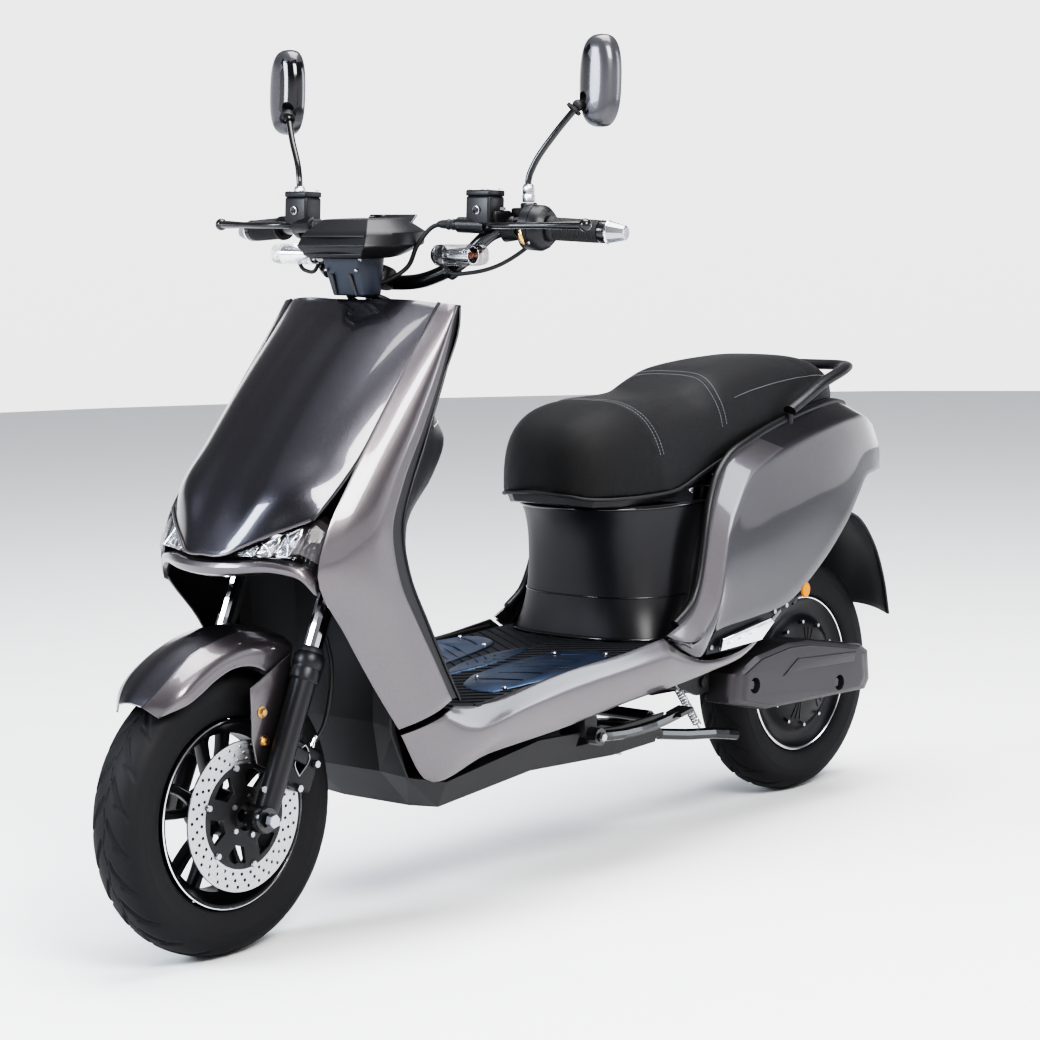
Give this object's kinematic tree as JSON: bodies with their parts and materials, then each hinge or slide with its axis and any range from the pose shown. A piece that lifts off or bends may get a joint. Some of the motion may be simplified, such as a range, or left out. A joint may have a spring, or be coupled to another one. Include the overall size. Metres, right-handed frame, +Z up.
{
  "type": "moped scooter",
  "caption": "Step-through electric moped with sprung fork and swing arm, hub motor, hinged seat, folding stands and passenger plates, turning bars, levers and mirrors.",
  "frame": {"origin": "on the ground under the middle of the bounding box, midway between the axles", "axes": "+Z up, the scooter faces -Y, the rider's left is +X"},
  "size_m": [0.7766, 1.7885, 1.2792],
  "materials": {
    "gunmetal_paint": "moulded panel in gunmetal metallic paint",
    "silver_paint": "moulded panel in warm titanium-silver metallic paint",
    "black_plastic": "satin black moulding",
    "deck_rubber": "black rubber",
    "tyre_rubber": "tyre rubber",
    "wheel_alloy": "black cast alloy",
    "seat_cover": "black grained cover over foam",
    "chrome": "chrome plate",
    "steel": "brushed steel",
    "frame_steel": "black paint on steel tube",
    "black_steel": "gloss black paint on steel",
    "black_alloy": "black coated cast alloy",
    "grey_satin": "dark grey satin moulding",
    "clear_lens": "clear lamp cover",
    "tail_lens": "smoked red lamp cover"
  },
  "bodies": {
    "chassis": {"main_frame": "frame_steel", "battery": "black_plastic", "controller": "black_alloy", "floor_board": "deck_rubber", "belly_pan": "black_plastic", "seat_box": "black_plastic", "grab_rail": "black_steel", "tail_lamp": "tail_lens", "rear_mudguard": "black_plastic", "rear_panel_left": "gunmetal_paint", "rear_panel_right": "gunmetal_paint", "front_panel": "gunmetal_paint", "inner_shield": "black_plastic", "nose_bar": "silver_paint", "front_band_left": "silver_paint", "front_band_right": "silver_paint", "floor_skirt_left": "silver_paint", "floor_skirt_right": "silver_paint", "headlamp_left": "clear_lens", "headlamp_right": "clear_lens"},
    "steering": {"fork_upper": "chrome", "handlebar": "black_steel", "grip_left": "deck_rubber", "brake_perch_left": "black_alloy", "brake_perch_right": "black_alloy", "switch_housing": "black_plastic", "display_housing": "black_plastic", "turn_signal_left": "clear_lens", "turn_signal_right": "clear_lens"},
    "fork_lower": {"fork_slider_left": "black_alloy", "fork_slider_right": "black_alloy", "front_fender": "gunmetal_paint", "fender_bracket_left": "grey_satin", "fender_bracket_right": "grey_satin", "brake_caliper": "black_alloy"},
    "front_wheel": {"front_tyre": "tyre_rubber", "front_rim": "wheel_alloy", "brake_disc": "steel"},
    "swing_arm": {"swing_arm": "frame_steel", "swing_cover_left": "grey_satin", "swing_cover_right": "grey_satin"},
    "rear_wheel": {"rear_tyre": "tyre_rubber", "hub_motor": "wheel_alloy"},
    "shock_body": {"shock_body": "black_steel", "shock_spring": "steel"},
    "shock_rod": {"shock_rod": "steel"},
    "seat": {"seat_cushion": "seat_cover", "seat_base": "black_plastic"},
    "side_stand": {"side_stand": "black_steel"},
    "centre_stand": {"centre_stand": "black_steel"},
    "passenger_plate_left": {"passenger_plate_left": "chrome"},
    "passenger_plate_right": {"passenger_plate_right": "chrome"},
    "throttle": {"throttle_grip": "deck_rubber"},
    "brake_lever_left": {"brake_lever_left": "black_alloy"},
    "brake_lever_right": {"brake_lever_right": "black_alloy"},
    "indicator_switch": {"indicator_switch": "steel"},
    "mirror_stem_left": {"mirror_stem_left": "black_steel"},
    "mirror_stem_right": {"mirror_stem_right": "black_steel"},
    "mirror_head_left": {"mirror_head_left": "grey_satin"},
    "mirror_head_right": {"mirror_head_right": "grey_satin"}
  },
  "joints": [
    {"name": "steering", "type": "hinge", "parent": "chassis", "child": "steering", "pos_m": [0, -0.6555, 0.205], "axis": [0, 0.4226, 0.9063], "range_deg": [-36, 36]},
    {"name": "front_suspension", "type": "slide", "parent": "steering", "child": "fork_lower", "axis": [0, 0.4226, 0.9063], "range_m": [0, 0.042], "stiffness_N_per_m": 9000, "springref_m": -0.09},
    {"name": "front_wheel_spin", "type": "hinge", "parent": "fork_lower", "child": "front_wheel", "pos_m": [0, -0.6835, 0.205], "axis": [1, 0, 0], "continuous": true},
    {"name": "rear_suspension", "type": "hinge", "parent": "chassis", "child": "swing_arm", "pos_m": [0, 0.315, 0.25], "axis": [1, 0, 0], "range_deg": [0, 9], "stiffness_Nm_per_rad": 900, "springref_deg": -22.92},
    {"name": "rear_wheel_spin", "type": "hinge", "parent": "swing_arm", "child": "rear_wheel", "pos_m": [0, 0.6835, 0.205], "axis": [1, 0, 0], "continuous": true},
    {"name": "shock_swing", "type": "hinge", "parent": "chassis", "child": "shock_body", "pos_m": [0, 0.47, 0.6], "axis": [1, 0, 0], "range_deg": [-6, 2]},
    {"name": "shock_stroke", "type": "slide", "parent": "shock_body", "child": "shock_rod", "axis": [0, -0.1996, -0.9799], "range_m": [-0.03, 0.002], "deforming": ["shock_spring"]},
    {"name": "seat_lid", "type": "hinge", "parent": "chassis", "child": "seat", "pos_m": [0, 0.07, 0.5655], "axis": [1, 0, 0], "range_deg": [0, 75]},
    {"name": "side_stand_fold", "type": "hinge", "parent": "chassis", "child": "side_stand", "pos_m": [0.162, -0.035, 0.224], "axis": [-1, 0, 0], "range_deg": [0, 88]},
    {"name": "centre_stand_fold", "type": "hinge", "parent": "chassis", "child": "centre_stand", "pos_m": [0, 0.205, 0.208], "axis": [-1, 0, 0], "range_deg": [0, 75]},
    {"name": "passenger_plate_left_fold", "type": "hinge", "parent": "chassis", "child": "passenger_plate_left", "pos_m": [0.1838, 0.3, 0.319], "axis": [0, 1, 0], "range_deg": [0, 85]},
    {"name": "passenger_plate_right_fold", "type": "hinge", "parent": "chassis", "child": "passenger_plate_right", "pos_m": [-0.1838, 0.3, 0.319], "axis": [0, -1, 0], "range_deg": [0, 85]},
    {"name": "throttle_twist", "type": "hinge", "parent": "steering", "child": "throttle", "pos_m": [-0.268, -0.24147, 1.00542], "axis": [-0.9746, 0.2161, -0.0585], "range_deg": [0, 70], "stiffness_Nm_per_rad": 0.4, "springref_deg": -11.46},
    {"name": "brake_left", "type": "hinge", "parent": "steering", "child": "brake_lever_left", "pos_m": [0.197, -0.292, 1.012], "axis": [0, 0, 1], "range_deg": [0, 11.5], "stiffness_Nm_per_rad": 3, "springref_deg": -5.73},
    {"name": "brake_right", "type": "hinge", "parent": "steering", "child": "brake_lever_right", "pos_m": [-0.197, -0.292, 1.012], "axis": [0, 0, -1], "range_deg": [0, 11.5], "stiffness_Nm_per_rad": 3, "springref_deg": -5.73},
    {"name": "indicator_slide", "type": "slide", "parent": "steering", "child": "indicator_switch", "axis": [0.9746, 0.2161, -0.0585], "range_m": [-0.003, 0.003], "stiffness_N_per_m": 300},
    {"name": "mirror_stem_left_turn", "type": "hinge", "parent": "steering", "child": "mirror_stem_left", "pos_m": [0.23, -0.244, 1.0435], "axis": [0, 0, 1], "range_deg": [-25, 25]},
    {"name": "mirror_stem_right_turn", "type": "hinge", "parent": "steering", "child": "mirror_stem_right", "pos_m": [-0.23, -0.244, 1.0435], "axis": [0, 0, 1], "range_deg": [-25, 25]},
    {"name": "mirror_head_left_tilt", "type": "hinge", "parent": "mirror_stem_left", "child": "mirror_head_left", "pos_m": [0.291, -0.203, 1.179], "axis": [1, 0, 0], "range_deg": [-12, 12]},
    {"name": "mirror_head_right_tilt", "type": "hinge", "parent": "mirror_stem_right", "child": "mirror_head_right", "pos_m": [-0.291, -0.203, 1.179], "axis": [1, 0, 0], "range_deg": [-12, 12]}
  ],
  "couplings": [
    {"joint": "shock_swing", "follows": "rear_suspension", "ratio": -0.39497},
    {"joint": "shock_stroke", "follows": "rear_suspension", "m_per_rad": -0.070735}
  ]
}
